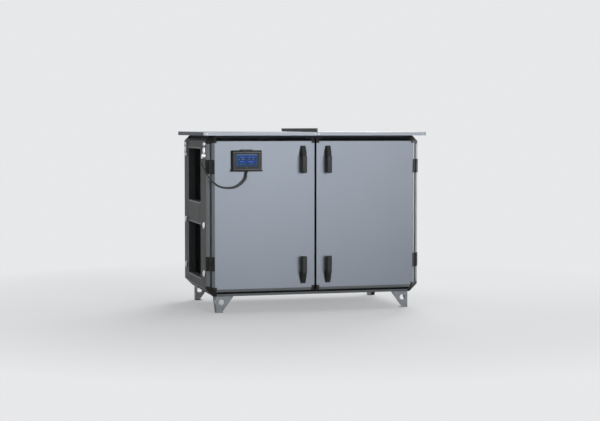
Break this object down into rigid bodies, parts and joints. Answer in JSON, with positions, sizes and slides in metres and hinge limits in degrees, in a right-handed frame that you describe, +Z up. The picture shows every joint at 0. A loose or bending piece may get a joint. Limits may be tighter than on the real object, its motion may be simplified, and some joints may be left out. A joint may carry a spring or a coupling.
{
  "type": "air handling unit",
  "caption": "Insulated air handling cabinet on four feet, with two hinged doors, lever latches, a wall display, duct openings in both ends and a flat sheet roof.",
  "frame": {"origin": "on the floor, at the centre of the cabinet's footprint", "axes": "+X along the front towards the right door, +Y from the front to the back, +Z up"},
  "size_m": [1.6895, 1.077, 1.3476],
  "materials": {
    "coated_steel": "satin coated sheet",
    "galvanised_steel": "coated sheet with a soft sheen",
    "dark_profile": "matt",
    "black_plastic": "fine moulded grain",
    "plated_metal": "bright nickel plate",
    "cable_jacket": "matt",
    "display_glass": "glossy"
  },
  "bodies": {
    "cabinet": {"base_panel": "coated_steel", "top_panel": "coated_steel", "back_panel_left": "coated_steel", "back_panel_right": "coated_steel", "end_panel_left": "coated_steel", "end_panel_right": "coated_steel", "front_frame": "dark_profile", "rear_frame": "dark_profile", "corner_front_left_bottom": "black_plastic", "corner_front_left_top": "black_plastic", "corner_front_right_bottom": "black_plastic", "corner_front_right_top": "black_plastic", "corner_back_left_bottom": "black_plastic", "corner_back_left_top": "black_plastic", "corner_back_right_bottom": "black_plastic", "corner_back_right_top": "black_plastic", "roof_sheet_left": "galvanised_steel", "roof_sheet_right": "galvanised_steel", "roof_seam_cap": "galvanised_steel", "foot_front_left": "galvanised_steel", "foot_front_right": "galvanised_steel", "foot_back_left": "galvanised_steel", "foot_back_right": "galvanised_steel", "hinge_left_lower_frame_leaf": "black_plastic", "hinge_left_upper_frame_leaf": "black_plastic", "hinge_right_lower_frame_leaf": "black_plastic", "hinge_right_upper_frame_leaf": "black_plastic", "duct_collar_left_lower": "galvanised_steel", "duct_collar_left_upper": "galvanised_steel", "duct_collar_right_lower": "galvanised_steel", "duct_collar_right_upper": "galvanised_steel", "cable_gland": "plated_metal", "control_cable_cabinet": "cable_jacket", "control_cable_hinge_loop": "cable_jacket"},
    "door_left": {"door_left": "coated_steel", "hinge_left_lower_door_leaf": "black_plastic", "hinge_left_upper_door_leaf": "black_plastic", "display_housing": "black_plastic", "display_screen": "display_glass", "control_cable_door": "cable_jacket"},
    "door_right": {"door_right": "coated_steel", "hinge_right_lower_door_leaf": "black_plastic", "hinge_right_upper_door_leaf": "black_plastic"},
    "handle_left_lower": {"handle_left_lower": "black_plastic"},
    "handle_left_upper": {"handle_left_upper": "black_plastic"},
    "handle_right_lower": {"handle_right_lower": "black_plastic"},
    "handle_right_upper": {"handle_right_upper": "black_plastic"}
  },
  "joints": [
    {"name": "door_left_swing", "type": "hinge", "parent": "cabinet", "child": "door_left", "pos_m": [-0.78645, -0.46645, 0.715], "axis": [0, 0, -1], "range_deg": [0, 120], "deforming": ["control_cable_hinge_loop"]},
    {"name": "door_right_swing", "type": "hinge", "parent": "cabinet", "child": "door_right", "pos_m": [0.78645, -0.46645, 0.715], "axis": [0, 0, 1], "range_deg": [0, 120]},
    {"name": "handle_left_lower_turn", "type": "hinge", "parent": "door_left", "child": "handle_left_lower", "pos_m": [-0.0945, -0.49, 0.255], "axis": [0, -1, 0], "range_deg": [0, 90]},
    {"name": "handle_left_upper_turn", "type": "hinge", "parent": "door_left", "child": "handle_left_upper", "pos_m": [-0.0945, -0.49, 1.175], "axis": [0, 1, 0], "range_deg": [0, 90]},
    {"name": "handle_right_lower_turn", "type": "hinge", "parent": "door_right", "child": "handle_right_lower", "pos_m": [0.0945, -0.49, 0.255], "axis": [0, 1, 0], "range_deg": [0, 90]},
    {"name": "handle_right_upper_turn", "type": "hinge", "parent": "door_right", "child": "handle_right_upper", "pos_m": [0.0945, -0.49, 1.175], "axis": [0, -1, 0], "range_deg": [0, 90]}
  ]
}
